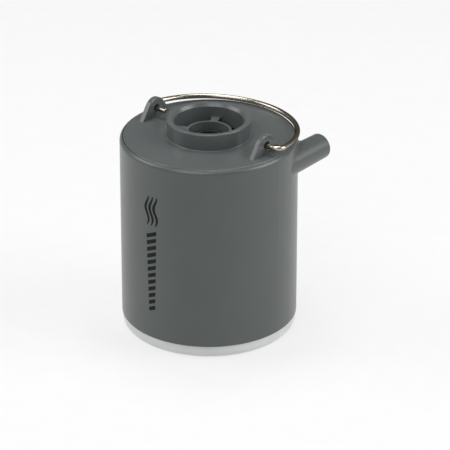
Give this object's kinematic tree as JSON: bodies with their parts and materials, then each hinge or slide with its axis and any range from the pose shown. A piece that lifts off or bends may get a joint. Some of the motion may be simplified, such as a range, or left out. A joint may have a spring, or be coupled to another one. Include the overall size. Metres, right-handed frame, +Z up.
{
  "type": "air mattress pump",
  "caption": "Cordless blower for air mattresses: round housing, top intake collar, side outlet nozzle, folding wire handle and a lamp in the base.",
  "frame": {"origin": "centre of the flat face that the pump stands on, under the lamp's lens", "axes": "+Z up along the housing's axis and out of the intake collar, +Y along the outlet nozzle the way the air leaves, +X along the handle's hinge line"},
  "size_m": [0.0861, 0.085, 0.1083],
  "materials": {
    "shell_grey": "satin moulded plastic",
    "cover_grey": "satin moulded plastic",
    "frosted_lens": "frosted",
    "polished_wire": "polished",
    "dark_plastic": "satin",
    "white_plastic": "satin",
    "black_rubber": "matte",
    "button_grey": "satin",
    "steel": "plated",
    "dark_steel": "plain",
    "bronze": "sintered",
    "copper": "enamelled",
    "cell_wrap": "shrink wrapped",
    "board_green": "solder mask",
    "board_white": "white solder mask",
    "clear_plastic": "clear",
    "lead_sleeve": "matte",
    "foam": "foam"
  },
  "bodies": {
    "pump_body": {"housing": "shell_grey", "top_cover": "cover_grey", "lens": "frosted_lens", "lens_seal": "black_rubber", "cover_seal": "black_rubber", "fan_scroll": "dark_plastic", "motor_can": "steel", "motor_end_cap": "dark_plastic", "motor_pad": "black_rubber", "motor_bearings": "bronze", "motor_magnets": "dark_steel", "motor_brushes": "copper", "motor_terminals": "steel", "cover_screws": "steel", "chassis_screws": "steel", "lamp_board_screws": "steel", "motor_screws": "steel", "board_screws": "steel", "chassis": "dark_plastic", "battery_cell_left": "cell_wrap", "battery_cell_right": "cell_wrap", "cell_straps": "steel", "cell_pads": "foam", "main_board": "board_green", "board_chips": "dark_plastic", "charge_coil": "dark_steel", "charge_lights": "white_plastic", "light_guide": "clear_plastic", "charging_socket": "steel", "socket_tongue": "dark_plastic", "port_cover_anchor": "black_rubber", "power_switch": "dark_plastic", "lamp_board": "board_white", "lamp_leds": "white_plastic", "reflector": "white_plastic", "motor_leads": "lead_sleeve", "battery_leads": "lead_sleeve", "lamp_leads": "lead_sleeve"},
    "rotor": {"impeller": "dark_plastic", "motor_shaft": "steel", "armature_core": "steel", "armature_windings": "copper", "commutator": "copper"},
    "bail": {"bail_handle": "polished_wire"},
    "button": {"power_button": "button_grey", "switch_plunger": "dark_plastic"},
    "port_flap": {"port_cover": "black_rubber"}
  },
  "joints": [
    {"name": "bail_swing", "type": "hinge", "parent": "pump_body", "child": "bail", "pos_m": [0, 0, 0.1031], "axis": [1, 0, 0], "range_deg": [0, 187]},
    {"name": "impeller_spin", "type": "hinge", "parent": "pump_body", "child": "rotor", "pos_m": [0, 0, 0.0876], "axis": [0, 0, 1], "continuous": true},
    {"name": "button_press", "type": "slide", "parent": "pump_body", "child": "button", "axis": [0, -1, 0], "range_m": [0, 0.0006], "stiffness_N_per_m": 600},
    {"name": "port_cover_hinge", "type": "hinge", "parent": "pump_body", "child": "port_flap", "pos_m": [0, 0.0414, 0.0328], "axis": [-1, 0, 0], "range_deg": [0, 100], "stiffness_Nm_per_rad": 0.002}
  ]
}
